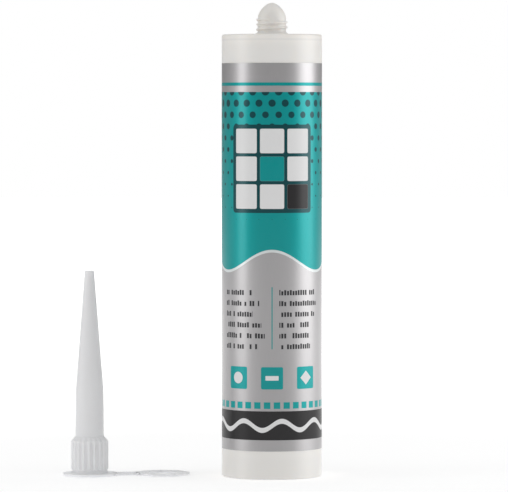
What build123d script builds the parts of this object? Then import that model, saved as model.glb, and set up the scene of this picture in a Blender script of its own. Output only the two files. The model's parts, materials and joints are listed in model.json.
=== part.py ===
from build123d import *

import os
from math import cos, radians, sin

# A cartridge of sealant for a caulking gun, standing on its rear rim, with its screw-on nozzle
# taken off and standing beside it. Lengths are in millimetres. The origin is the centre of the
# barrel's rear rim, +Z runs up the barrel to the neck, and the nozzle stands towards -X.

# ---- Barrel: tube, shoulder and raised front rim ----
barrel_length = 215.0  # rear rim to front rim
barrel_radius = 24.4
barrel_wall = 1.1
shoulder_wall = 1.5
rim_height = 2.7  # the front rim stands this far above the shoulder
rim_wall = 1.8
rim_outer_round = 0.9
rim_inner_round = 0.4
foot_round = 0.3  # outer edge of the rear rim

# ---- Rear mouth, where the gun's push disc goes in ----
mouth_depth = 10.0
mouth_wall = 0.7
mouth_lead = 1.0  # length of the cone from the mouth down to the bore

# ---- Neck: flared foot, threaded stem and closed tip ----
neck_root_radius = 6.9
neck_wall = 2.1
neck_height = 7.7  # front rim to the foot of the tip
flare_width = 6.6  # the flare's foot stands this far out from the neck's root
flare_height = 3.9
flare_fillet = 1.5
tip_height = 7.8
tip_shoulder = 3.5  # length over which the tip leaves the neck's line
tip_bluntness = 3.0  # larger is a flatter nose
tip_wall = 1.3

# ---- Screw thread: a ridge outside the neck and its match inside the nozzle ----
thread_height = 0.75
thread_pitch = 2.4
thread_foot_width = 1.5
thread_crest_width = 0.5
thread_sink = 0.3  # how far the ridge's foot reaches into its wall
thread_clearance = 0.15
neck_thread_rise = 6.6
nozzle_thread_rise = 7.2
nozzle_thread_start = 2.0  # nozzle's underside to the middle of the ridge

# ---- Label: one film wrapped round the barrel ----
film_thickness = 0.1
label_bottom = 13.6
label_top_margin = 14.0  # label to front rim

# ---- Piston ----
piston_setback = 1.0  # mouth's cone to the piston's skirt
piston_height = 17.0
piston_clearance = 0.1
piston_skirt = 1.3
piston_face = 1.8
lip_height = 2.4
waist_depth = 0.6
boss_radius = 9.0
boss_height = 2.5
web_count = 8
web_width = 1.2
web_height = 6.0

# ---- Sealant ----
fill_clearance = 0.05

# ---- Nozzle: collar, stem and spout ----
nozzle_height = 100.0
outlet_radius = 1.3
spout_wall = 0.95
outlet_chamfer = 0.3
stem_radius = 6.9
stem_top_radius = 6.75
stem_top = 42.4
stem_wall = 1.0
socket_length = 16.0
socket_cone = 2.5  # length of the cone from the socket down to the stem's bore
collar_wall = 0.8
collar_straight = 16.7  # nozzle's underside to the foot of the collar's shoulder
collar_shoulder = 2.5
flute_count = 20
flute_radius = 0.75
flute_proud = 0.5
flute_start = 1.4  # above the flange
flange_width = 4.5
flange_thickness = 1.2
flange_fillet = 1.1
flange_round = 0.35

# ---- Strap and hang ring, flat with the flange's underside ----
standing_gap = 15.5  # label to ring, where the nozzle stands
strap_turn = 6.5  # degrees, towards the back
strap_thickness = 1.0
strap_length = 9.9  # flange to ring
arm_width = 1.6
slot_width = 6.8
slot_round = 1.4
arm_fillet = 1.2
ring_radius = 13.0
ring_hole_radius = 6.75

# ---- Worked out from the above ----
label_radius = barrel_radius + film_thickness
label_top = barrel_length - label_top_margin
bore_radius = barrel_radius - barrel_wall
mouth_radius = barrel_radius - mouth_wall
rim_inner_radius = barrel_radius - rim_wall
shoulder_top = barrel_length - rim_height
shoulder_bottom = shoulder_top - shoulder_wall

flare_radius = neck_root_radius + flare_width
flare_top = shoulder_top + flare_height
throat_radius = flare_radius - neck_wall / 2
neck_top = barrel_length + neck_height
neck_bore_radius = neck_root_radius - neck_wall
tip_top = neck_top + tip_height

piston_bottom = mouth_depth + mouth_lead + piston_setback
piston_top = piston_bottom + piston_height
lip_radius = bore_radius - piston_clearance
waist_radius = lip_radius - waist_depth
skirt_inner_radius = waist_radius - piston_skirt
face_bottom = piston_top - piston_face

socket_radius = neck_root_radius + thread_height + thread_clearance
collar_radius = socket_radius + collar_wall
collar_top = collar_straight + collar_shoulder
flange_radius = collar_radius + flange_width
spout_radius = outlet_radius + spout_wall
strap_width = slot_width + 2 * arm_width
ring_reach = flange_radius + strap_length + ring_radius
nozzle_offset = label_radius + standing_gap + ring_radius + ring_reach

# The nozzle's own planes: its underside, with X along the strap, and an upright one through its
# axis and the strap.
nozzle_centre = (-nozzle_offset, 0, 0)
strap_direction = (cos(radians(strap_turn)), sin(radians(strap_turn)), 0)
nozzle_base = Plane(origin=nozzle_centre, x_dir=strap_direction, z_dir=(0, 0, 1))
nozzle_side = Plane(origin=nozzle_centre, x_dir=strap_direction, z_dir=-nozzle_base.y_dir)
nozzle_axis = Axis(nozzle_centre, (0, 0, 1))


def corner(sketch, x, y):
    """The sketch's corner nearest to (x, y), measured on the sketch's own plane."""
    return sketch.vertices().sort_by_distance((x, y))[0]


def ridge_outline(wall_radius, outward, height):
    """Trapezium of a thread ridge at this height: a wide foot sunk in the wall, a narrow crest."""
    foot = wall_radius - outward * thread_sink
    crest = wall_radius + outward * thread_height
    return [
        (foot, height - thread_foot_width / 2),
        (crest, height - thread_crest_width / 2),
        (crest, height + thread_crest_width / 2),
        (foot, height + thread_foot_width / 2),
    ]


# ---- Cartridge barrel: one moulding ----
with BuildPart() as barrel:
    with BuildSketch(Plane.XZ) as barrel_outside:
        with BuildLine():
            Polyline(
                (0, tip_top),
                (0, 0),
                (barrel_radius, 0),
                (barrel_radius, barrel_length),
                (rim_inner_radius, barrel_length),
                (rim_inner_radius, shoulder_top),
                (flare_radius, shoulder_top),
                (neck_root_radius, flare_top),
                (neck_root_radius, neck_top),
            )
            Bezier(
                (neck_root_radius, neck_top),
                (neck_root_radius, neck_top + tip_shoulder),
                (tip_bluntness, tip_top),
                (0, tip_top),
            )
        make_face()
        fillet(corner(barrel_outside, barrel_radius, 0), foot_round)
        fillet(corner(barrel_outside, barrel_radius, barrel_length), rim_outer_round)
        fillet(corner(barrel_outside, rim_inner_radius, barrel_length), rim_inner_round)
        fillet(corner(barrel_outside, flare_radius, shoulder_top), flare_fillet)
    revolve(axis=Axis.Z)

    with BuildSketch(Plane.XZ):
        with BuildLine():
            Polyline(
                (0, tip_top - tip_wall),
                (0, 0),
                (mouth_radius, 0),
                (mouth_radius, mouth_depth),
                (bore_radius, mouth_depth + mouth_lead),
                (bore_radius, shoulder_bottom),
                (throat_radius, shoulder_bottom),
                (neck_bore_radius, flare_top),
                (neck_bore_radius, neck_top),
            )
            Bezier(
                (neck_bore_radius, neck_top),
                (neck_bore_radius, neck_top + tip_shoulder),
                (tip_bluntness / 2, tip_top - tip_wall),
                (0, tip_top - tip_wall),
            )
        make_face()
    revolve(axis=Axis.Z, mode=Mode.SUBTRACT)

    with BuildLine(Plane.XY.offset(flare_top)) as neck_helix:
        Helix(pitch=thread_pitch, height=neck_thread_rise, radius=neck_root_radius)
    with BuildSketch(Plane.XZ):
        with BuildLine():
            Polyline(*ridge_outline(neck_root_radius, 1, flare_top), close=True)
        make_face()
    sweep(path=neck_helix.line, is_frenet=True)
barrel.part.label = "cartridge_barrel"

# ---- Label: a thin sleeve on the barrel ----
with BuildPart() as label:
    with BuildSketch(Plane.XY.offset(label_bottom)):
        Circle(label_radius)
        Circle(barrel_radius, mode=Mode.SUBTRACT)
    extrude(amount=label_top - label_bottom)
label.part.label = "label_film"

# ---- Piston: a cup open to the rear, a wiping lip at each end of its skirt, webs to its boss ----
with BuildPart() as piston:
    with BuildSketch(Plane.XZ):
        with BuildLine():
            Polyline(
                (0, piston_top),
                (lip_radius, piston_top),
                (lip_radius, piston_top - lip_height),
                (waist_radius, piston_top - lip_height - waist_depth),
                (waist_radius, piston_bottom + lip_height + waist_depth),
                (lip_radius, piston_bottom + lip_height),
                (lip_radius, piston_bottom),
                (skirt_inner_radius, piston_bottom),
                (skirt_inner_radius, face_bottom),
                (boss_radius, face_bottom),
                (boss_radius, face_bottom - boss_height),
                (0, face_bottom - boss_height),
                close=True,
            )
        make_face()
    revolve(axis=Axis.Z)
    # Each web runs from inside the boss to the middle of the skirt's wall.
    web_inner = boss_radius - web_width
    web_outer = skirt_inner_radius + piston_skirt / 2
    with BuildSketch(Plane.XY.offset(face_bottom)):
        with PolarLocations((web_inner + web_outer) / 2, web_count):
            Rectangle(web_outer - web_inner, web_width)
    extrude(amount=-web_height)
piston.part.label = "piston"

# ---- Sealant: it fills the barrel from the piston to the closed tip ----
with BuildPart() as sealant:
    core_radius = neck_bore_radius - fill_clearance
    with BuildSketch(Plane.XZ):
        with BuildLine():
            Polyline(
                (0, tip_top - tip_wall - fill_clearance),
                (0, piston_top + fill_clearance),
                (bore_radius - fill_clearance, piston_top + fill_clearance),
                (bore_radius - fill_clearance, shoulder_bottom - fill_clearance),
                (throat_radius - fill_clearance, shoulder_bottom - fill_clearance),
                (core_radius, flare_top - fill_clearance),
                (core_radius, neck_top - fill_clearance),
            )
            Bezier(
                (core_radius, neck_top - fill_clearance),
                (core_radius, neck_top + tip_shoulder - fill_clearance),
                (tip_bluntness / 2 - fill_clearance, tip_top - tip_wall - fill_clearance),
                (0, tip_top - tip_wall - fill_clearance),
            )
        make_face()
    revolve(axis=Axis.Z)
sealant.part.label = "sealant"

# ---- Flutes: upright half-round ribs round the collar, cut off along the collar's shoulder ----
flute_bottom = flange_thickness + flute_start
with BuildPart() as flutes:
    with BuildSketch(nozzle_base.offset(flute_bottom)):
        with PolarLocations(collar_radius + flute_proud - flute_radius, flute_count):
            Circle(flute_radius)
    extrude(amount=collar_top - flute_bottom)
    with BuildSketch(nozzle_side):
        with BuildLine():
            Polyline(
                (0, 0),
                (collar_radius + flute_proud, 0),
                (collar_radius + flute_proud, collar_straight),
                (stem_radius, collar_top),
                (0, collar_top),
                close=True,
            )
        make_face()
    revolve(axis=nozzle_axis, mode=Mode.INTERSECT)

# ---- Nozzle: one moulding, with its strap and hang ring ----
with BuildPart() as nozzle:
    with BuildSketch(nozzle_side) as nozzle_outside:
        with BuildLine():
            Polyline(
                (0, 0),
                (flange_radius, 0),
                (flange_radius, flange_thickness),
                (collar_radius, flange_thickness),
                (collar_radius, collar_straight),
                (stem_radius, collar_top),
                (stem_top_radius, stem_top),
                (spout_radius, nozzle_height - outlet_chamfer),
                (spout_radius - outlet_chamfer, nozzle_height),
                (0, nozzle_height),
                close=True,
            )
        make_face()
        fillet(corner(nozzle_outside, flange_radius, flange_thickness), flange_round)
        fillet(corner(nozzle_outside, collar_radius, flange_thickness), flange_fillet)
    revolve(axis=nozzle_axis)
    add(flutes.part)

    with BuildSketch(nozzle_base) as strap_outline:
        Circle(flange_radius - flange_round)
        with Locations((ring_reach / 2, 0)):
            Rectangle(ring_reach, strap_width)
        with Locations((ring_reach, 0)):
            Circle(ring_radius)
        for side in (-1, 1):
            for x in (flange_radius, ring_reach - ring_radius):
                fillet(corner(strap_outline, x, side * strap_width / 2), arm_fillet)
        with Locations((ring_reach, 0)):
            Circle(ring_hole_radius, mode=Mode.SUBTRACT)
        with Locations((flange_radius + strap_length / 2, 0)):
            RectangleRounded(strap_length, slot_width, slot_round, mode=Mode.SUBTRACT)
    extrude(amount=strap_thickness)

    with BuildSketch(nozzle_side):
        with BuildLine():
            Polyline(
                (0, 0),
                (socket_radius, 0),
                (socket_radius, socket_length),
                (stem_radius - stem_wall, socket_length + socket_cone),
                (stem_top_radius - stem_wall, stem_top),
                (outlet_radius, nozzle_height),
                (0, nozzle_height),
                close=True,
            )
        make_face()
    revolve(axis=nozzle_axis, mode=Mode.SUBTRACT)

    with BuildLine(nozzle_base.offset(nozzle_thread_start)) as nozzle_helix:
        Helix(pitch=thread_pitch, height=nozzle_thread_rise, radius=socket_radius)
    with BuildSketch(nozzle_side):
        with BuildLine():
            Polyline(*ridge_outline(socket_radius, -1, nozzle_thread_start), close=True)
        make_face()
    sweep(path=nozzle_helix.line, is_frenet=True)
nozzle.part.label = "nozzle"

os.makedirs("parts", exist_ok=True)
export_step(barrel.part, "parts/cartridge_barrel.step")
export_step(label.part, "parts/label_film.step")
export_step(piston.part, "parts/piston.step")
export_step(sealant.part, "parts/sealant.step")
export_step(nozzle.part, "parts/nozzle.step")
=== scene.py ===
"""A caulk tube: a printed sealant cartridge standing on its rear rim, with its screw-on nozzle beside it.

Lengths are in metres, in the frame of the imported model: Z up the barrel, the front of the label towards -Y.
Each piece is a surface of its own, worked out as whole arrays, and stands for a CAD node.
"""

import json

import bmesh
import bpy
import numpy as np
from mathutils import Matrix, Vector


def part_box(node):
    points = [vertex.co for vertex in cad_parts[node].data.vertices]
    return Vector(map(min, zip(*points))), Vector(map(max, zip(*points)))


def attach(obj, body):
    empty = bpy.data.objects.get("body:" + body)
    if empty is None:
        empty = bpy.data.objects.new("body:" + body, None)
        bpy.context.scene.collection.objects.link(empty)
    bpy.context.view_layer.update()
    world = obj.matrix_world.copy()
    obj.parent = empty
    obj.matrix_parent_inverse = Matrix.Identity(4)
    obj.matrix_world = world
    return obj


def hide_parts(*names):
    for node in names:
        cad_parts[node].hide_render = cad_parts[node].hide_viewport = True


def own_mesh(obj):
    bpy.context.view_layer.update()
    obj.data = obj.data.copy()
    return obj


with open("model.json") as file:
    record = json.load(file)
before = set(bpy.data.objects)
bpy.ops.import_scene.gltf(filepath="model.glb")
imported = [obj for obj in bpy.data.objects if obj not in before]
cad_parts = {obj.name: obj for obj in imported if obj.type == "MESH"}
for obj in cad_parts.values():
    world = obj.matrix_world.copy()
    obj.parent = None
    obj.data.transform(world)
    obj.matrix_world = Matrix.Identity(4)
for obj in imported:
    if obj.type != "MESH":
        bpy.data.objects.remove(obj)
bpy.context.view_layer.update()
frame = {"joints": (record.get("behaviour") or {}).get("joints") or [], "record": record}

MM = 0.001

# ---- Places and sizes that the frame gives ----
barrel_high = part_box("cartridge_barrel")[1]
label_low, label_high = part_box("label_film")
piston_low, piston_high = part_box("piston")
sealant_low, sealant_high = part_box("sealant")
nozzle_low, nozzle_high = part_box("nozzle")
mounts = {mount["name"]: mount for mount in frame["record"]["mounts"]}
plunger_travel = frame["joints"][0]["range_m"][1]

barrel_radius = barrel_high.x
tip_top = barrel_high.z
rim_top = mounts["front_rim"]["pos_m"][2]
mouth_radius = mounts["rear_mouth"]["dims"]["r_mm"] * MM
mouth_depth = mounts["rear_mouth"]["dims"]["length_mm"] * MM
ring_centre = complex(*mounts["hang_ring"]["pos_m"][:2])
ring_hole_radius = mounts["hang_ring"]["dims"]["r_mm"] * MM
nozzle_height = nozzle_high.z

# ---- Barrel ----
BORE_RADIUS = barrel_radius - 1.1 * MM
RIM_INNER_RADIUS = barrel_radius - 1.8 * MM
RIM_HEIGHT = 2.7 * MM
SHOULDER_WALL = 1.5 * MM
MOUTH_LEAD = 1.0 * MM
NECK_ROOT_RADIUS = 6.9 * MM
NECK_BORE_RADIUS = 4.8 * MM
TIP_HEIGHT = 7.8 * MM
TIP_SHOULDER = 3.5 * MM
TIP_BLUNTNESS = 3.0 * MM
TIP_WALL = 1.3 * MM
FLARE_RADIUS = 13.5 * MM
FLARE_HEIGHT = 3.9 * MM
THROAT_RADIUS = 12.45 * MM

shoulder_top = rim_top - RIM_HEIGHT
shoulder_bottom = shoulder_top - SHOULDER_WALL
flare_top = shoulder_top + FLARE_HEIGHT
neck_top = tip_top - TIP_HEIGHT

# ---- Screw thread ----
THREAD_HEIGHT = 0.75 * MM
THREAD_PITCH = 2.4 * MM
THREAD_FOOT = 1.5 * MM
THREAD_CREST = 0.5 * MM
NECK_THREAD_RISE = 6.6 * MM
NOZZLE_THREAD_RISE = 7.2 * MM
NOZZLE_THREAD_START = 2.0 * MM

# ---- Nozzle ----
SOCKET_RADIUS = 7.8 * MM
SOCKET_LENGTH = 16.0 * MM
SOCKET_CONE = 2.5 * MM
STEM_RADIUS = 6.9 * MM
STEM_TOP_RADIUS = 6.75 * MM
STEM_TOP = 42.4 * MM
STEM_WALL = 1.0 * MM
SPOUT_RADIUS = 2.25 * MM
OUTLET_RADIUS = 1.3 * MM
COLLAR_RADIUS = 8.6 * MM
COLLAR_STRAIGHT = 16.7 * MM
COLLAR_TOP = 19.2 * MM
FLANGE_RADIUS = 13.1 * MM
FLANGE_THICKNESS = 1.2 * MM
FLUTES = 20
FLUTE_RADIUS = 0.75 * MM
FLUTE_PROUD = 0.5 * MM
FLUTE_BOTTOM = 2.6 * MM
STRAP_THICKNESS = 1.0 * MM
STRAP_LENGTH = 9.9 * MM
SLOT_WIDTH = 6.8 * MM
ARM_WIDTH = 1.6 * MM
ARM_FILLET = 1.2 * MM
RING_RADIUS = 13.0 * MM

nozzle_centre = complex(nozzle_low.x + FLANGE_RADIUS, 0)
strap_direction = (ring_centre - nozzle_centre) / abs(ring_centre - nozzle_centre)


# ======== Shapes ========


def outline(*corners, closed=False, steps=6, support=0.25 * MM):
    """A profile through corners (radius, height, rounding), as complex numbers radius + height j.

    Each corner becomes an arc tangent to both of its runs, and each long run gets a point close to both
    of its ends, so that smooth shading stays on the arcs.
    """
    at = np.array([complex(r, z) for r, z, _ in corners])
    rounding = [corner[2] for corner in corners]
    if closed:
        turns = list(zip(np.roll(at, 1), at, np.roll(at, -1), rounding))
        stretches = []
    else:
        turns = list(zip(at[:-2], at[1:-1], at[2:], rounding[1:-1]))
        stretches = [at[:1]]
    for before, here, after, round_radius in turns:
        came = (here - before) / abs(here - before)
        goes = (after - here) / abs(after - here)
        turn = np.angle(goes / came)
        inward = 1j * np.sign(turn) * came * round_radius
        start = here - came * round_radius * np.tan(abs(turn) / 2)
        stretches.append(start + inward - inward * np.exp(1j * turn * np.linspace(0, 1, steps + 1)))
    stretches.append(stretches[0][:1] if closed else at[-1:])
    path = np.concatenate(stretches)
    run = np.diff(path)
    long = np.flatnonzero(np.abs(run) > 4 * support)
    step = support * run[long] / np.abs(run[long])
    beside_ends = np.column_stack((path[long] + step, path[long + 1] - step)).ravel()
    path = np.insert(path, np.repeat(long + 1, 2), beside_ends)
    return path[:-1] if closed else path


def finer(path, low, high, step):
    """The same profile with extra points every step of its length, where its height is from low to high."""
    along = np.concatenate(([0], np.cumsum(np.abs(np.diff(path)))))
    extra = np.arange(0, along[-1], step)
    height = np.interp(extra, along, path.imag)
    extra = extra[(height > low) & (height < high)]
    every = np.unique(np.concatenate((along, extra)))
    return np.interp(every, along, path.real) + 1j * np.interp(every, along, path.imag)


def dome(radius, foot, top, bluntness, steps=20):
    """A tip's profile from pole to foot: a cubic curve, level at the pole and upright at the foot."""
    t = np.linspace(0, 1, steps)
    pull = [complex(0, top), complex(bluntness, top)]
    pull += [complex(radius, foot + TIP_SHOULDER), complex(radius, foot)]
    weight = ((1 - t) ** 3, 3 * t * (1 - t) ** 2, 3 * t**2 * (1 - t), t**3)
    return sum(w * p for w, p in zip(weight, pull))


def thread(angle, height, start, rise):
    """How far a right-hand thread's ridge stands out, at each angle and height.

    The nearest turn of the helix is found from the height, less the share of the pitch that the angle has
    used up. The ridge is a trapezium with eased flanks, and fades in and out over a fifth of a turn.
    """
    turn = angle / (2 * np.pi)
    nearest = np.round((height - start) / THREAD_PITCH - turn)
    travelled = np.clip(turn + nearest, 0, rise / THREAD_PITCH)
    away = np.abs(height - start - travelled * THREAD_PITCH)
    flank = np.clip((THREAD_FOOT / 2 - away) / (THREAD_FOOT / 2 - THREAD_CREST / 2), 0, 1)
    fade = np.clip(np.minimum(travelled, rise / THREAD_PITCH - travelled) * 5, 0, 1)
    return THREAD_HEIGHT * flank * flank * (3 - 2 * flank) * fade


def flutes(angle, height):
    """Radius of the collar's upright half-round ribs, cut off along its shoulder; 0 between them."""
    pitch = 2 * np.pi / FLUTES
    off = (angle + pitch / 2) % pitch - pitch / 2
    middle = COLLAR_RADIUS + FLUTE_PROUD - FLUTE_RADIUS
    inside = FLUTE_RADIUS**2 - (middle * np.sin(off)) ** 2
    rib = np.where(inside > 0, middle * np.cos(off) + np.sqrt(np.maximum(inside, 0)), 0)
    shoulder = np.interp(height, (COLLAR_STRAIGHT, COLLAR_TOP), (COLLAR_RADIUS + FLUTE_PROUD, STEM_RADIUS))
    foot = np.clip((height - FLUTE_BOTTOM) / (0.5 * MM), 0, 1)
    return np.minimum(rib, shoulder) * np.sqrt(foot) * (height < COLLAR_TOP)


def turned(path, columns, centre=0j, radius=None):
    """Points of a profile carried round an upright axis: (row, column, xyz). radius may vary with both."""
    angle = np.linspace(0, 2 * np.pi, columns, endpoint=False)
    radius = path.real[:, None] if radius is None else radius
    flat = centre + radius * np.exp(1j * angle)[None, :]
    height = np.broadcast_to(path.imag[:, None], flat.shape)
    return np.stack((flat.real, flat.imag, height), -1)


def carried(inner, outer, section):
    """Points of a flat ring: its section (share of the way out, height) carried along both its edges."""
    flat = inner[:, None] + (outer - inner)[:, None] * section.real[None, :]
    height = np.broadcast_to(section.imag[None, :], flat.shape)
    return np.stack((flat.real, flat.imag, height), -1)


def skin(rows, columns, close_rows, close_columns):
    """Quads of a grid of points. A closed direction joins its last line to its first."""
    row = np.arange(rows if close_rows else rows - 1)[:, None]
    column = np.arange(columns if close_columns else columns - 1)[None, :]
    next_row, next_column = (row + 1) % rows, (column + 1) % columns
    corners = (
        row * columns + column,
        next_row * columns + column,
        next_row * columns + next_column,
        row * columns + next_column,
    )
    return np.stack(np.broadcast_arrays(*corners), -1).reshape(-1, 4)


def shell(points, close_rows=False, close_columns=True, capped=False):
    """A grid of points as (vertices, faces), turned so that it encloses a positive volume.

    capped closes each open end of the rows with one flat face.
    """
    rows, columns = points.shape[:2]
    vertices = points.reshape(-1, 3)
    quads = skin(rows, columns, close_rows, close_columns)
    a, b, c, d = (vertices[quads[:, k]] for k in range(4))
    middle = vertices.mean(0)
    volume = np.einsum("ij,ij->", a - middle, np.cross(b - a, c - a) + np.cross(c - a, d - a))
    faces = quads.tolist()
    if capped:
        faces += [list(range(columns)), list(range((rows - 1) * columns, rows * columns))[::-1]]
    if volume < 0:
        faces = [face[::-1] for face in faces]
    return vertices, faces


def piece(name, body, node, material, shells, sharp_degrees=None):
    """One object made of shells, with touching points joined, riding on a body in a CAD node's place."""
    vertices, faces, count = [], [], 0
    for points, loops in shells:
        vertices += points.tolist()
        faces += [[index + count for index in loop] for loop in loops]
        count += len(points)
    mesh = bpy.data.meshes.new(name)
    mesh.from_pydata(vertices, [], faces)
    work = bmesh.new()
    work.from_mesh(mesh)
    bmesh.ops.remove_doubles(work, verts=work.verts, dist=1e-7)
    work.to_mesh(mesh)
    work.free()
    mesh.shade_smooth()
    if sharp_degrees is not None:
        mesh.set_sharp_from_angle(angle=np.radians(sharp_degrees))
    mesh.materials.append(material)
    made = bpy.data.objects.new(name, mesh)
    bpy.context.scene.collection.objects.link(made)
    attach(made, body)
    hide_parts(node)
    return made


# ======== Materials ========


class Field:
    """A number at every point of a surface. Arithmetic on it adds Math nodes to its material."""

    def __init__(self, tree, socket):
        self.tree = tree
        self.socket = socket

    def math(self, operation, *others, clamp=False):
        node = self.tree.nodes.new("ShaderNodeMath")
        node.operation = operation
        node.use_clamp = clamp
        for place, value in enumerate((self, *others)):
            if isinstance(value, Field):
                self.tree.links.new(value.socket, node.inputs[place])
            else:
                node.inputs[place].default_value = value
        return Field(self.tree, node.outputs[0])

    def __add__(self, other):
        return self.math("ADD", other)

    def __sub__(self, other):
        return self.math("SUBTRACT", other)

    def __mul__(self, other):
        return self.math("MULTIPLY", other)

    def __truediv__(self, other):
        return self.math("DIVIDE", other)

    def __abs__(self):
        return self.math("ABSOLUTE")

    def floor(self):
        return self.math("FLOOR")

    def fraction(self):
        return self.math("FRACT")

    def sine(self):
        return self.math("SINE")

    def power(self, exponent):
        return self.math("POWER", exponent)

    def at_least(self, other):
        return self.math("MAXIMUM", other)

    def rounded_most(self, other, rounding):
        """The larger of the two, with their meeting rounded off."""
        return self.math("SMOOTH_MAX", other, rounding)

    def clamped(self):
        return self.math("ADD", 0.0, clamp=True)

    def inside(self, blur=0.12):
        """1 where this distance is below zero and 0 above, over a narrow edge."""
        return (self * (-1 / blur) + 0.5).clamped()


def new_material(name, **sockets):
    """A material with its Principled shader's own sockets set, and that shader."""
    material = bpy.data.materials.new(name)
    material.use_nodes = True
    shader = material.node_tree.nodes["Principled BSDF"]
    for socket, value in sockets.items():
        shader.inputs[socket.replace("_", " ")].default_value = value
    return material, shader


def object_place(tree):
    """The point's place on the object, in metres."""
    return tree.nodes.new("ShaderNodeTexCoord").outputs["Object"]


def noise(tree, where, scale, detail=2.0, stretch=(1, 1, 1)):
    """A noise value over the object, stretched along each axis."""
    mapping = tree.nodes.new("ShaderNodeMapping")
    mapping.inputs["Scale"].default_value = stretch
    tree.links.new(where, mapping.inputs["Vector"])
    texture = tree.nodes.new("ShaderNodeTexNoise")
    texture.inputs["Scale"].default_value = scale
    texture.inputs["Detail"].default_value = detail
    tree.links.new(mapping.outputs["Vector"], texture.inputs["Vector"])
    return Field(tree, texture.outputs["Fac"])


def mixed(tree, share, first, second):
    """A colour from first to second, by share. Each is a colour or a socket."""
    mix = tree.nodes.new("ShaderNodeMix")
    mix.data_type = "RGBA"
    tree.links.new(share.socket, mix.inputs["Factor"])
    for socket, value in ((mix.inputs[6], first), (mix.inputs[7], second)):
        if isinstance(value, tuple):
            socket.default_value = (*value, 1)
        else:
            tree.links.new(value, socket)
    return mix.outputs[2]


def bumped(tree, shader, height, strength, distance):
    """Surface relief from a height field."""
    bump = tree.nodes.new("ShaderNodeBump")
    bump.inputs["Strength"].default_value = strength
    bump.inputs["Distance"].default_value = distance
    tree.links.new(height.socket, bump.inputs["Height"])
    tree.links.new(bump.outputs["Normal"], shader.inputs["Normal"])


def barrel_plastic():
    """Natural white polyethylene: satin, a little translucent, clouded by its flow up the mould, with painted
    shade along the shoulder and over the thin rim above it.
    """
    material, shader = new_material(
        "barrel_plastic", IOR=1.52, Subsurface_Weight=0.35, Subsurface_Scale=0.004,
    )
    shader.inputs["Subsurface Radius"].default_value = (1.0, 0.85, 0.7)
    tree = material.node_tree
    where = object_place(tree)
    cloud = noise(tree, where, 60, 3, (1, 1, 0.12))
    height = tree.nodes.new("ShaderNodeSeparateXYZ")
    tree.links.new(where, height.inputs[0])
    # Painted shade standing in for light through the translucent wall: a darker line where the shoulder meets
    # the wall, and a darker rim above it.
    over_shoulder = Field(tree, height.outputs[2]) - shoulder_top
    line = (abs(over_shoulder) * (-1 / (0.7 * MM)) + 1).clamped() * 0.5
    painted_rim_shade = (over_shoulder * (1 / (0.5 * MM))).clamped() * 0.2
    body = mixed(tree, cloud, (0.87, 0.83, 0.78), (0.905, 0.875, 0.83))
    tree.links.new(mixed(tree, line + painted_rim_shade, body, (0.70, 0.69, 0.68)), shader.inputs["Base Color"])
    grain = noise(tree, where, 900, 2)
    tree.links.new((grain * 0.12 + 0.27).socket, shader.inputs["Roughness"])
    bumped(tree, shader, grain + cloud * 4, 0.12, 0.00005)
    return material


def nozzle_plastic():
    """Unfilled polyethylene: frosted, cooler and more translucent than the barrel."""
    material, shader = new_material(
        "nozzle_plastic", IOR=1.51, Subsurface_Weight=0.6, Subsurface_Scale=0.005,
    )
    shader.inputs["Subsurface Radius"].default_value = (0.9, 0.95, 1.0)
    tree = material.node_tree
    where = object_place(tree)
    cloud = noise(tree, where, 90, 3, (1, 1, 0.15))
    tree.links.new(
        mixed(tree, cloud, (0.89, 0.90, 0.935), (0.92, 0.93, 0.955)), shader.inputs["Base Color"]
    )
    grain = noise(tree, where, 1200, 2)
    tree.links.new((grain * 0.12 + 0.36).socket, shader.inputs["Roughness"])
    bumped(tree, shader, grain + cloud * 3, 0.15, 0.00005)
    return material


def piston_plastic():
    """Stiff white polyethylene with faint turned rings from its mould."""
    material, shader = new_material("piston_plastic", IOR=1.52, Roughness=0.42)
    tree = material.node_tree
    where = object_place(tree)
    cloud = noise(tree, where, 120, 3)
    tree.links.new(
        mixed(tree, cloud, (0.70, 0.70, 0.69), (0.78, 0.78, 0.77)), shader.inputs["Base Color"]
    )
    rings = tree.nodes.new("ShaderNodeTexWave")
    rings.wave_type = "RINGS"
    rings.rings_direction = "Z"
    rings.inputs["Scale"].default_value = 400
    tree.links.new(where, rings.inputs["Vector"])
    bumped(tree, shader, Field(tree, rings.outputs["Fac"]), 0.1, 0.00003)
    return material


def sealant_paste():
    """Wet, smooth white paste."""
    material, shader = new_material(
        "sealant_paste", IOR=1.43, Roughness=0.2, Subsurface_Weight=0.3, Subsurface_Scale=0.004,
    )
    tree = material.node_tree
    swirl = noise(tree, object_place(tree), 45, 4)
    tree.links.new(
        mixed(tree, swirl, (0.76, 0.755, 0.73), (0.84, 0.835, 0.81)), shader.inputs["Base Color"]
    )
    bumped(tree, shader, swirl, 0.2, 0.0004)
    return material


# ---- Label print, in millimetres: s is the way round from the middle of the front, z the height ----
SILVER = (0.43, 0.42, 0.425)

# Each ink is its colour, its share of metal and its roughness.
TEAL = ((0.0, 0.31, 0.31), 0.55, 0.4)
DEEP_TEAL = ((0.002, 0.06, 0.068), 0.55, 0.4)
BLACK = ((0.02, 0.019, 0.02), 0.2, 0.3)
SMALL_PRINT = ((0.03, 0.03, 0.033), 0.2, 0.35)
WHITE = ((0.80, 0.80, 0.80), 0.0, 0.35)
PALE_LINE = ((0.72, 0.76, 0.76), 0.4, 0.4)

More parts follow.
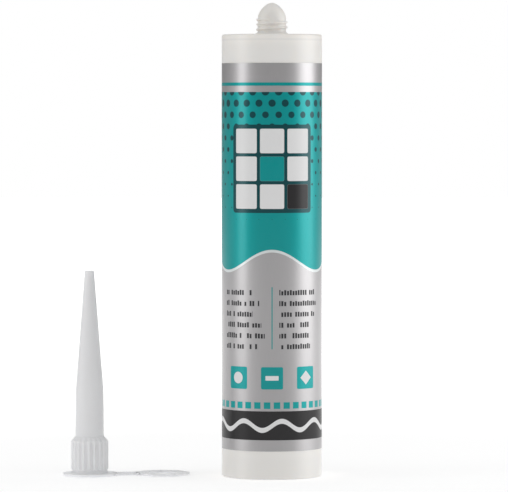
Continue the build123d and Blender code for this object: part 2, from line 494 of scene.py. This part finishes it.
GIRTH = 2 * np.pi * label_high.x / MM  # what repeats round the label is a whole share of this
TEAL_TOP = 187
THIN_BELT = (190, 191.6)
WAVE_FOOT = 106
WAVE_HEIGHT = 5
WAVE_LENGTH = GIRTH / 3
WAVE_LINE = 1.3
DOT_PITCH = GIRTH / 24
DOT_ROW = 5.6
DOT_GROWTH = 0.16
CORNER = 1.4
TILE_CENTRE = 150
TILE_PITCH = 13.4
TILE_HALF = 5.9
TILES_HALF = 1.5 * TILE_PITCH
JOINT_MARGIN = 1.2
RULE_HALF = (0.25, 15)
SIGN_HEIGHT = 49
SIGN_PITCH = 18
SIGN_HALF = 5.4
BAND = (19, 33)
BEAD_LENGTH = GIRTH / 8
BEAD_SWING = 2.2
BEAD_HALF = 1.2
CHECK_PITCH = GIRTH / 32
CHECK_HALF = 1.6
CHECK_RISE = 2.8
PANEL_ROUNDING = 3
BACK_PANEL_HALF = (16, 30)

# Small print: height of the lowest row, count of rows, their pitch, the size of a block, and how ragged
# the rows end. The columns give a left and a right edge and the seed of their pattern.
FRONT_ROWS = {"foot": 63, "rows": 6, "pitch": 5.2, "size": 2.6, "ragged": 8}
FRONT_COLUMNS = ((-27, -3, 3.0), (3.5, 28, 5.0))
BACK_LOW_ROWS = {"foot": 43, "rows": 11, "pitch": 4.6, "size": 2.0, "ragged": 5}
BACK_HIGH_ROWS = {"foot": 123, "rows": 12, "pitch": 4.6, "size": 2.0, "ragged": 5}
BACK_COLUMNS = ((43, 71, 11.0), (-72, -44, 17.0))


class Print:
    """The label's inks, laid one over another: colour, share of metal and roughness."""

    def __init__(self, tree, color, metal, roughness):
        self.tree = tree
        self.color = color
        self.metal = metal
        self.roughness = roughness

    def lay(self, mask, ink):
        color, metal, roughness = ink
        self.color = mixed(self.tree, mask, self.color, color)
        self.metal = self.blend(mask, self.metal, metal)
        self.roughness = self.blend(mask, self.roughness, roughness)

    def blend(self, mask, under, over):
        return mask * over + (mask * -1 + 1) * under


def block(s, z, middle, height, half_width, half_height, corner=0.0):
    """An upright rectangle: the larger of the distances past its sides and past its ends, rounded off."""
    beyond = abs(z - height) - half_height
    return (abs(s - middle) - half_width).rounded_most(beyond, corner).inside()


def belt(z, low, high):
    """A level belt all the way round."""
    return (abs(z - (low + high) / 2) - (high - low) / 2).inside()


def graded_dots(s, z):
    """Dots in rows, every other row moved on by half a pitch, and each row's dots larger than the last."""
    level = (z - WAVE_FOOT) / DOT_ROW
    row = level.floor()
    along = ((s / DOT_PITCH + (row * 0.5).fraction()).fraction() - 0.5) * DOT_PITCH
    upward = (level.fraction() - 0.5) * DOT_ROW
    away = (along.power(2) + upward.power(2)).power(0.5)
    return (away - ((row - 1) * DOT_GROWTH).at_least(0) + 0.15).inside()


def tiles(s, z):
    """Three rows of three square tiles: a square in each cell of a grid, and none past the grid's edge."""
    across = abs((s / TILE_PITCH + 0.5).fraction() - 0.5) * TILE_PITCH - TILE_HALF
    upward = abs(((z - TILE_CENTRE) / TILE_PITCH + 0.5).fraction() - 0.5) * TILE_PITCH - TILE_HALF
    edge = across.rounded_most(upward, CORNER)
    beyond = (abs(s) - TILES_HALF).at_least(abs(z - TILE_CENTRE) - TILES_HALF)
    return edge.at_least(beyond).inside()


def word_rows(tree, s, z, left, right, foot, rows, pitch, size, ragged, seed):
    """Level rows of small upright blocks in word-like groups, standing in for small print.

    Each row is cut into cells; a random number for each cell decides if it is a gap and how tall it is,
    and another for each row decides where the row ends.
    """
    level = (z - foot) / pitch
    row = level.floor()
    cell_width = size * 0.55
    along = s / cell_width
    cell = along.floor()

    def chance(x, y):
        pair = tree.nodes.new("ShaderNodeCombineXYZ")
        for place, value in enumerate((x, y)):
            tree.links.new(value.socket, pair.inputs[place])
        pair.inputs[2].default_value = seed
        random = tree.nodes.new("ShaderNodeTexWhiteNoise")
        tree.links.new(pair.outputs[0], random.inputs["Vector"])
        return Field(tree, random.outputs["Value"])

    pick = chance(cell, row)
    end = chance(row, row) * -ragged + right
    tall = pick * (0.3 * size) + 0.7 * size
    beside = abs(along.fraction() - 0.5) * cell_width - cell_width * 0.36
    edge = (level.fraction() * pitch - tall).at_least(beside)
    edge = edge.at_least(s - end).at_least(s * -1 + left)
    edge = edge.at_least((row * -1 - 0.5)).at_least(row - (rows - 0.5))
    return edge.inside() * pick.math("GREATER_THAN", 0.17)


def label_print():
    """Satin silver film, printed in teal, black and white."""
    material, shader = new_material(
        "label_print", IOR=1.5, Specular_IOR_Level=0.0, Coat_Weight=0.55, Coat_IOR=1.5, Coat_Roughness=0.24,
    )
    tree = material.node_tree
    uv = tree.nodes.new("ShaderNodeUVMap")
    uv.uv_map = "print"
    split = tree.nodes.new("ShaderNodeSeparateXYZ")
    tree.links.new(uv.outputs["UV"], split.inputs[0])
    s = Field(tree, split.outputs[0]) * 100
    z = Field(tree, split.outputs[1]) * 100

    brushing = noise(tree, uv.outputs["UV"], 40, 2, (6, 0.4, 1))
    ground = mixed(tree, brushing, tuple(c * 0.96 for c in SILVER), tuple(c * 1.04 for c in SILVER))
    ink = Print(tree, ground, brushing * 0.1 + 0.9, brushing * 0.06 + 0.37)

    # Teal field: all the way round above a level wave with three crests, with a pale line along the wave
    # and a thin teal belt above the field.
    crest = (s * (2 * np.pi / WAVE_LENGTH) + np.pi / 2).sine() * WAVE_HEIGHT
    below_wave = z * -1 + WAVE_FOOT + crest
    above_field = z - TEAL_TOP
    ink.lay((below_wave - WAVE_LINE).at_least(above_field).inside(), PALE_LINE)
    field = below_wave.at_least(above_field).inside()
    ink.lay(field, TEAL)
    ink.lay(graded_dots(s, z) * field, DEEP_TEAL)
    ink.lay(belt(z, *THIN_BELT), TEAL)

    # Block of tiles in a dark joint, with a teal one in the middle and a black one at a corner.
    joint_half = TILES_HALF + JOINT_MARGIN
    ink.lay(block(s, z, 0, TILE_CENTRE, joint_half, joint_half, PANEL_ROUNDING), DEEP_TEAL)
    ink.lay(tiles(s, z), WHITE)
    ink.lay(block(s, z, 0, TILE_CENTRE, TILE_HALF, TILE_HALF, CORNER), TEAL)
    ink.lay(block(s, z, TILE_PITCH, TILE_CENTRE - TILE_PITCH, TILE_HALF, TILE_HALF, CORNER), BLACK)

    # Two columns of small print with a rule between them.
    for left, right, seed in FRONT_COLUMNS:
        ink.lay(word_rows(tree, s, z, left=left, right=right, seed=seed, **FRONT_ROWS), SMALL_PRINT)
    ink.lay(block(s, z, 0, 78, *RULE_HALF), TEAL)

    # Three square signs: a disc, a bar and a diamond.
    for middle in (-SIGN_PITCH, 0, SIGN_PITCH):
        ink.lay(block(s, z, middle, SIGN_HEIGHT, SIGN_HALF, SIGN_HALF, CORNER), TEAL)
    disc = ((s + SIGN_PITCH).power(2) + (z - SIGN_HEIGHT).power(2)).power(0.5) - 2.8
    ink.lay(disc.inside(), WHITE)
    ink.lay(block(s, z, 0, SIGN_HEIGHT, 3.2, 1.1, 0.5), WHITE)
    diamond = abs(s - SIGN_PITCH) + abs(z - SIGN_HEIGHT) - 3.4
    ink.lay(diamond.inside(), WHITE)

    # Black band round the foot with a white bead waving along it, and a row of teal checks over it.
    ink.lay(belt(z, *BAND), BLACK)
    bead = (s * (2 * np.pi / BEAD_LENGTH)).sine() * BEAD_SWING
    ink.lay((abs(z - sum(BAND) / 2 - bead) - BEAD_HALF).inside(), WHITE)
    beside = abs((s / CHECK_PITCH).fraction() - 0.5) * CHECK_PITCH - CHECK_HALF
    ink.lay(beside.at_least(abs(z - BAND[1] - CHECK_RISE) - CHECK_HALF).inside(), TEAL)

    # Small print on the back: dark on the silver, and pale on a dark panel in the teal.
    for left, right, seed in BACK_COLUMNS:
        low_print = word_rows(tree, s, z, left=left, right=right, seed=seed, **BACK_LOW_ROWS)
        ink.lay(low_print, SMALL_PRINT)
        middle = (left + right) / 2
        ink.lay(block(s, z, middle, TILE_CENTRE, *BACK_PANEL_HALF, PANEL_ROUNDING), DEEP_TEAL)
        high_print = word_rows(tree, s, z, left=left, right=right, seed=seed + 1, **BACK_HIGH_ROWS)
        ink.lay(high_print, WHITE)

    tree.links.new(ink.color, shader.inputs["Base Color"])
    tree.links.new(ink.metal.socket, shader.inputs["Metallic"])
    tree.links.new(ink.roughness.socket, shader.inputs["Roughness"])
    slack = noise(tree, object_place(tree), 35, 1, (1, 1, 0.5))
    bumped(tree, shader, slack, 0.2, 0.0002)
    return material


# ======== Pieces ========


def make_barrel():
    """Barrel, rim, shoulder, threaded neck and closed tip, with the bore inside them: one turned profile."""
    outside = np.concatenate((
        dome(NECK_ROOT_RADIUS, neck_top, tip_top, TIP_BLUNTNESS)[:-1],
        outline(
            (NECK_ROOT_RADIUS, neck_top, 0),
            (NECK_ROOT_RADIUS, flare_top, 0.6 * MM),
            (FLARE_RADIUS, shoulder_top, 1.5 * MM),
            (RIM_INNER_RADIUS, shoulder_top, 0.5 * MM),
            (RIM_INNER_RADIUS, rim_top, 0.4 * MM),
            (barrel_radius, rim_top, 0.9 * MM),
            (barrel_radius, 0, 0.3 * MM),
            (mouth_radius, 0, 0.15 * MM),
            (mouth_radius, mouth_depth, 0.4 * MM),
        )[:-1],
    ))
    outside = finer(outside, flare_top - MM, neck_top + 0.4 * MM, 0.13 * MM)
    inside = np.concatenate((
        outline(
            (mouth_radius, mouth_depth, 0),
            (BORE_RADIUS, mouth_depth + MOUTH_LEAD, 0.4 * MM),
            (BORE_RADIUS, shoulder_bottom, 0.5 * MM),
            (THROAT_RADIUS, shoulder_bottom, 0.5 * MM),
            (NECK_BORE_RADIUS, flare_top, 0.5 * MM),
            (NECK_BORE_RADIUS, neck_top, 0),
        )[:-1],
        dome(NECK_BORE_RADIUS, neck_top, tip_top - TIP_WALL, TIP_BLUNTNESS / 2)[::-1],
    ))
    path = np.concatenate((outside, inside))
    columns = 192
    angle = np.linspace(0, 2 * np.pi, columns, endpoint=False)[None, :]
    ridge = thread(angle, path.imag[:, None], flare_top, NECK_THREAD_RISE)
    on_neck = (np.arange(len(path)) < len(outside)) & (path.real > 0.5 * MM) & (path.imag > shoulder_top)
    on_neck &= path.real < FLARE_RADIUS
    stands = np.maximum(path.real[:, None], (NECK_ROOT_RADIUS + ridge) * (ridge > 0))
    radius = np.where(on_neck[:, None], stands, path.real[:, None])
    return piece(
        "cartridge_body", "cartridge", "cartridge_barrel", barrel_plastic(),
        [shell(turned(path, columns, radius=radius))],
    )


def make_label():
    """The label film: a strip wound once round the barrel, its end lapped over its start at the back.

    It winds out by one film thickness where it laps. Its section is a thin upright rectangle.
    """
    film = 0.045 * MM
    lap = 6 * MM
    radius = label_high.x
    columns = 260
    arc = np.linspace(-np.pi, np.pi + lap / radius, columns)
    climb = np.clip((arc - np.pi + 0.02) / 0.02, 0, 1)
    inner = radius - 2.1 * film + climb * film
    height = np.array([label_low.z, label_low.z + 0.2 * MM, label_high.z - 0.2 * MM, label_high.z])
    section_radius = np.concatenate((np.ones(4), np.zeros(4))) * film
    section_height = np.concatenate((height, height[::-1]))
    flat = (inner[:, None] + section_radius[None, :]) * np.exp(1j * (arc - np.pi / 2))[:, None]
    points = np.stack((flat.real, flat.imag, np.broadcast_to(section_height, flat.shape)), -1)
    made = piece(
        "label_wrap", "cartridge", "label_film", label_print(),
        [shell(points, close_columns=True, capped=True)], sharp_degrees=30,
    )
    map_label(made.data, radius, arc, columns)
    return made


def map_label(mesh, radius, arc, columns):
    """Two maps for the label: its print, in tenths of a metre, and the flat sheet its finish is baked on.

    The sheet gives four fifths of its width to the outer face. The inner face and the film's four edges
    have narrow strips beside it.
    """
    place = np.zeros(len(mesh.vertices) * 3)
    mesh.vertices.foreach_get("co", place)
    height = place.reshape(-1, 3)[:, 2]
    corner = np.zeros(len(mesh.loops), np.int32)
    mesh.loops.foreach_get("vertex_index", corner)
    start = np.zeros(len(mesh.polygons), np.int32)
    mesh.polygons.foreach_get("loop_start", start)
    face = np.searchsorted(start, np.arange(len(mesh.loops)), side="right") - 1

    wound = np.minimum(corner // 8, columns - 1)
    printed = np.column_stack((arc[wound] * radius, height[corner])) * 10
    mesh.uv_layers.new(name="print").data.foreach_set("uv", printed.ravel())

    round_share = wound / (columns - 1)
    height_share = (height[corner] - height.min()) / np.ptp(height)
    on_inner = corner % 8 > 3
    side = face % 8
    is_end = face >= len(mesh.polygons) - 2
    kinds = [
        (is_end, 0.97 + 0.015 * (face == len(mesh.polygons) - 1), 0.01 * on_inner, height_share),
        (side < 3, 0.01, 0.8 * round_share, height_share),
        (side == 3, 0.93, 0.01 * on_inner, round_share),
        (side < 7, 0.83, 0.08 * round_share, height_share),
        (side == 7, 0.95, 0.01 * on_inner, round_share),
    ]
    across = np.select([kind[0] for kind in kinds], [kind[1] + kind[2] for kind in kinds])
    up = np.select([kind[0] for kind in kinds], [kind[3] for kind in kinds]) * 0.98 + 0.01
    mesh.uv_layers.new(name="OFBake").data.foreach_set("uv", np.column_stack((across, up)).ravel())


def make_piston():
    """The piston: a turned cup with a wiping lip at each end of its skirt, and webs from its boss."""
    top, foot = piston_high.z, piston_low.z
    lip = piston_high.x
    waist = lip - 0.6 * MM
    skirt_inner = waist - 1.3 * MM
    boss = 9.0 * MM
    face = top - 1.8 * MM
    cup = outline(
        (0, top, 0),
        (lip, top, 0.15 * MM),
        (lip, top - 2.4 * MM, 0.15 * MM),
        (waist, top - 3.0 * MM, 0.3 * MM),
        (waist, foot + 3.0 * MM, 0.3 * MM),
        (lip, foot + 2.4 * MM, 0.15 * MM),
        (lip, foot, 0.15 * MM),
        (skirt_inner, foot, 0.15 * MM),
        (skirt_inner, face, 0.8 * MM),
        (boss, face, 0.4 * MM),
        (boss, face - 2.5 * MM, 0.3 * MM),
        (0, face - 2.5 * MM, 0),
        steps=4,
    )
    web = outline(
        (-0.6 * MM, face - 6 * MM, 0.25 * MM),
        (0.6 * MM, face - 6 * MM, 0.25 * MM),
        (0.6 * MM, face + 0.3 * MM, 0.1 * MM),
        (-0.6 * MM, face + 0.3 * MM, 0.1 * MM),
        closed=True, steps=3,
    )
    reach = np.array([boss - 1.2 * MM, skirt_inner + 0.65 * MM])
    shells = [shell(turned(cup, 144))]
    for turn in np.arange(8) * np.pi / 4:
        flat = (reach[:, None] + 1j * web.real[None, :]) * np.exp(1j * turn)
        points = np.stack((flat.real, flat.imag, np.broadcast_to(web.imag, flat.shape)), -1)
        shells.append(shell(points, capped=True))
    return piece(
        "piston_cup", "plunger", "piston", piston_plastic(), shells, sharp_degrees=40,
    )


def make_sealant():
    """The sealant: the fill below the shoulder, and the core left in the neck."""
    bottom = sealant_low.z
    fill_radius = sealant_high.x
    gap = BORE_RADIUS - fill_radius
    fill_top = shoulder_bottom - gap
    paste = sealant_paste()
    fill = piece(
        "sealant_fill", "cartridge", "sealant", paste,
        [shell(turned(outline(
            (0, fill_top, 0),
            (fill_radius, fill_top, 0.3 * MM),
            (fill_radius, bottom, 0.3 * MM),
            (0, bottom, 0),
        ), 96))],
    )
    squeezed = fill_top - (piston_high.z + plunger_travel + gap)
    squeezed / (fill_top - bottom)
    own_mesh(fill)
    core_radius = NECK_BORE_RADIUS - gap
    core = np.concatenate((
        dome(core_radius, neck_top - gap, sealant_high.z, TIP_BLUNTNESS / 2 - gap)[:-1],
        outline(
            (core_radius, neck_top - gap, 0),
            (core_radius, flare_top - gap, 0.4 * MM),
            (THROAT_RADIUS - gap, shoulder_bottom, 0.2 * MM),
            (0, shoulder_bottom, 0),
        ),
    ))
    piece(
        "sealant_core", "cartridge", "sealant", paste, [shell(turned(core, 96))],
    )


def make_nozzle():
    """Nozzle, strap and ring: a turned moulding, a flat frame round the strap's slot and a flat ring."""
    outside = outline(
        (OUTLET_RADIUS, nozzle_height, 0),
        (SPOUT_RADIUS, nozzle_height, 0.3 * MM),
        (STEM_TOP_RADIUS, STEM_TOP, 12 * MM),
        (STEM_RADIUS, COLLAR_TOP, 0.5 * MM),
        (COLLAR_RADIUS, COLLAR_STRAIGHT, 0.8 * MM),
        (COLLAR_RADIUS, FLANGE_THICKNESS, 1.1 * MM),
        (FLANGE_RADIUS, FLANGE_THICKNESS, 0.35 * MM),
        (FLANGE_RADIUS, 0, 0.2 * MM),
        (SOCKET_RADIUS, 0, 0),
    )[:-1]
    outside = finer(outside, FLUTE_BOTTOM - 0.2 * MM, COLLAR_TOP + 0.2 * MM, 0.3 * MM)
    inside = outline(
        (SOCKET_RADIUS, 0, 0),
        (SOCKET_RADIUS, SOCKET_LENGTH, 0.5 * MM),
        (STEM_RADIUS - STEM_WALL, SOCKET_LENGTH + SOCKET_CONE, 0.5 * MM),
        (STEM_TOP_RADIUS - STEM_WALL, STEM_TOP, 12 * MM),
        (OUTLET_RADIUS, nozzle_height, 0),
    )[:-1]
    inside = finer(inside, 0.8 * MM, NOZZLE_THREAD_START + NOZZLE_THREAD_RISE + MM, 0.15 * MM)
    path = np.concatenate((outside, inside))
    columns = FLUTES * 14
    angle = np.linspace(0, 2 * np.pi, columns, endpoint=False)[None, :]
    height = path.imag[:, None]
    is_outside = (np.arange(len(path)) < len(outside))[:, None]
    ridge = thread(angle, height, NOZZLE_THREAD_START, NOZZLE_THREAD_RISE)
    radius = np.where(
        is_outside,
        np.maximum(path.real[:, None], flutes(angle, height)),
        path.real[:, None] - ridge,
    )
    moulding = shell(turned(path, columns, nozzle_centre, radius), close_rows=True)

    # Strap: both of the frame's edges are squared ovals, |x/a|^n + |y/b|^n = 1; the outer one flares out
    # at the flange and the ring by the depth of a fillet.
    way = np.linspace(0, 2 * np.pi, 96, endpoint=False)
    slot_edge = squared_oval(way, STRAP_LENGTH / 2, SLOT_WIDTH / 2, 7)
    reach = STRAP_LENGTH / 2 + ARM_FILLET
    rim_edge = squared_oval(way, reach, SLOT_WIDTH / 2 + ARM_WIDTH, 14)
    into = np.clip(np.abs(rim_edge.real) - (reach - 2 * ARM_FILLET), 0, ARM_FILLET)
    flare = ARM_FILLET - np.sqrt(ARM_FILLET**2 - into**2)
    rim_edge = rim_edge + 1j * np.sign(rim_edge.imag) * flare
    middle = nozzle_centre + strap_direction * (FLANGE_RADIUS + STRAP_LENGTH / 2)
    plate = plate_section(ARM_WIDTH, 0.02 * MM, STRAP_THICKNESS - 0.02 * MM)
    strap = shell(
        carried(middle + strap_direction * slot_edge, middle + strap_direction * rim_edge, plate),
        close_rows=True,
    )

    round_way = np.exp(1j * np.linspace(0, 2 * np.pi, 128, endpoint=False))
    ring = shell(
        carried(
            ring_centre + ring_hole_radius * round_way,
            ring_centre + RING_RADIUS * round_way,
            plate_section(RING_RADIUS - ring_hole_radius, 0, STRAP_THICKNESS),
        ),
        close_rows=True,
    )
    return piece(
        "nozzle_moulding", "cartridge", "nozzle", nozzle_plastic(),
        [moulding, strap, ring],
    )


def squared_oval(way, half_length, half_width, power):
    """Points of |x/a|^n + |y/b|^n = 1 at each angle."""
    cosine, sine = np.cos(way), np.sin(way)
    reach = (np.abs(cosine) ** power + np.abs(sine) ** power) ** (-1 / power)
    return half_length * cosine * reach + 1j * half_width * sine * reach


def plate_section(width, low, high):
    """A flat bar's section with softened edges, its width counted as 1."""
    soft = 0.15 * MM
    section = outline(
        (0, low, soft), (width, low, soft), (width, high, soft), (0, high, soft), closed=True, steps=3,
    )
    return section.real / width + 1j * section.imag


# ======== Studio ========


def seen_as_background(tree):
    """1 for camera, glossy and transmission rays, and 0 for the rays that light the object."""
    ray = tree.nodes.new("ShaderNodeLightPath")
    seen = Field(tree, ray.outputs["Is Camera Ray"])
    seen = seen.at_least(Field(tree, ray.outputs["Is Glossy Ray"]))
    return seen.at_least(Field(tree, ray.outputs["Is Transmission Ray"]))


def make_stage():
    """A pale floor round the object, wide enough to run out of the camera's view.

    It is clear from below and casts no shadow, so that the low lamp reaches the object.
    """
    reach, below, sides = 6.0, -0.2 * MM, 64
    glow_start, glow_width, glow_least = 0.25, 0.6, 0.45
    mesh = bpy.data.meshes.new("floor")
    edge = reach * np.exp(1j * np.linspace(0, 2 * np.pi, sides, endpoint=False))
    corners = np.column_stack((edge.real, edge.imag, np.full(sides, below)))
    mesh.from_pydata(corners.tolist(), [], [list(range(sides))])
    material = bpy.data.materials.new("floor_paper")
    material.use_nodes = True
    tree = material.node_tree
    shader = tree.nodes["Principled BSDF"]
    shader.inputs["Base Color"].default_value = (0.82, 0.82, 0.82, 1)
    shader.inputs["Roughness"].default_value = 0.9
    shader.inputs["Specular IOR Level"].default_value = 0.0
    glow = tree.nodes.new("ShaderNodeEmission")
    seen = seen_as_background(tree)
    split = tree.nodes.new("ShaderNodeSeparateXYZ")
    tree.links.new(object_place(tree), split.inputs[0])
    x, y = Field(tree, split.outputs[0]), Field(tree, split.outputs[1])
    away = (x * x + y * y).power(0.5)
    spread = ((away - glow_start) / glow_width).clamped()
    strength = seen * (spread * (1 - glow_least) + glow_least)
    tree.links.new(strength.socket, glow.inputs["Strength"])
    add = tree.nodes.new("ShaderNodeAddShader")
    tree.links.new(shader.outputs[0], add.inputs[0])
    tree.links.new(glow.outputs[0], add.inputs[1])
    side = tree.nodes.new("ShaderNodeMixShader")
    tree.links.new(tree.nodes.new("ShaderNodeNewGeometry").outputs["Backfacing"], side.inputs[0])
    tree.links.new(add.outputs[0], side.inputs[1])
    tree.links.new(tree.nodes.new("ShaderNodeBsdfTransparent").outputs[0], side.inputs[2])
    tree.links.new(side.outputs[0], tree.nodes["Material Output"].inputs["Surface"])
    mesh.materials.append(material)
    floor = bpy.data.objects.new("floor", mesh)
    bpy.context.scene.collection.objects.link(floor)
    floor.visible_shadow = False


def make_card(name, first, last, strength):
    """A studio card seen only in reflections: an upright arc between two angles from the camera's side."""
    reach, low, high, steps = 2.6, -1.0, 3.0, 16
    turn = np.radians(np.linspace(first, last, steps))
    foot = np.column_stack((reach * np.sin(turn), -reach * np.cos(turn)))
    points = np.stack([np.column_stack((foot, np.full(steps, z))) for z in (low, high)])
    mesh = bpy.data.meshes.new(name)
    mesh.from_pydata(points.reshape(-1, 3).tolist(), [], skin(2, steps, False, False).tolist())
    material = bpy.data.materials.new(name)
    material.use_nodes = True
    tree = material.node_tree
    glow = tree.nodes.new("ShaderNodeEmission")
    glow.inputs["Strength"].default_value = strength
    tree.links.new(glow.outputs[0], tree.nodes["Material Output"].inputs["Surface"])
    mesh.materials.append(material)
    card = bpy.data.objects.new(name, mesh)
    bpy.context.scene.collection.objects.link(card)
    card.visible_camera = False
    card.visible_diffuse = False
    card.visible_shadow = False


def soft_light(name, azimuth, distance, height, width, tall, radiance):
    """A soft box at an angle from the camera's side, aimed at half the barrel's height on its axis.

    Its power is its radiance, times pi, times its area.
    """
    light = bpy.data.lights.new(name, "AREA")
    light.shape = "RECTANGLE"
    light.size = width
    light.size_y = tall
    light.energy = radiance * np.pi * width * tall
    lamp = bpy.data.objects.new(name, light)
    turn = np.radians(azimuth)
    lamp.location = (distance * np.sin(turn), -distance * np.cos(turn), height)
    aim = lamp.location.copy()
    aim.z -= rim_top / 2
    lamp.rotation_euler = aim.to_track_quat("Z", "Y").to_euler()
    bpy.context.scene.collection.objects.link(lamp)
    lamp.visible_camera = False


def make_lights():
    """Two tall soft boxes at the sides, the right one wider, one under the floor, a pale room and cards.

    The cards stand in front, behind the camera, and at both sides of the back, so that the metallic label
    shows dark between its highlights. The room's light falls off towards the ceiling.
    """
    level, fall = 1.02, 0.62
    soft_light("right_box", 88, 1.5, 0.25, 1.0, 1.2, 1.8)
    soft_light("left_box", -72, 1.5, 0.25, 0.5, 1.2, 1.6)
    soft_light("low_box", 0, 0, -1.5, 0.6, 0.6, 3.0)
    make_card("front_card", -60, 60, 0.06)
    make_card("left_card", -165, -84, 0.2)
    make_card("right_card", 112, 168, 0.25)
    world = bpy.data.worlds.new("room")
    bpy.context.scene.world = world
    world.use_nodes = True
    tree = world.node_tree
    seen = seen_as_background(tree)
    split = tree.nodes.new("ShaderNodeSeparateXYZ")
    tree.links.new(tree.nodes.new("ShaderNodeTexCoord").outputs["Generated"], split.inputs[0])
    room = Field(tree, split.outputs[2]).clamped() * -fall + level
    background = tree.nodes["Background"]
    background.inputs["Color"].default_value = (1, 1, 1, 1)
    tree.links.new((seen * (room * -1 + 1) + room).socket, background.inputs["Strength"])


def make_camera():
    """A long lens, above the middle of the barrel, looking down by two degrees."""
    data = bpy.data.cameras.new("camera")
    data.lens = 276
    data.sensor_width = 36
    camera = bpy.data.objects.new("camera", data)
    bpy.context.scene.collection.objects.link(camera)
    aim = np.array([-8.7 * MM, 0.0, 112 * MM])
    distance = 1.9
    lift = np.radians(2.0)
    camera.location = aim + distance * np.array([0, -np.cos(lift), np.sin(lift)])
    camera.rotation_euler = (np.pi / 2 - lift, 0, 0)
    bpy.context.scene.camera = camera


make_barrel()
make_label()
make_piston()
make_sealant()
make_nozzle()
make_stage()
make_lights()
make_camera()
bpy.context.scene.view_settings.view_transform = "Standard"
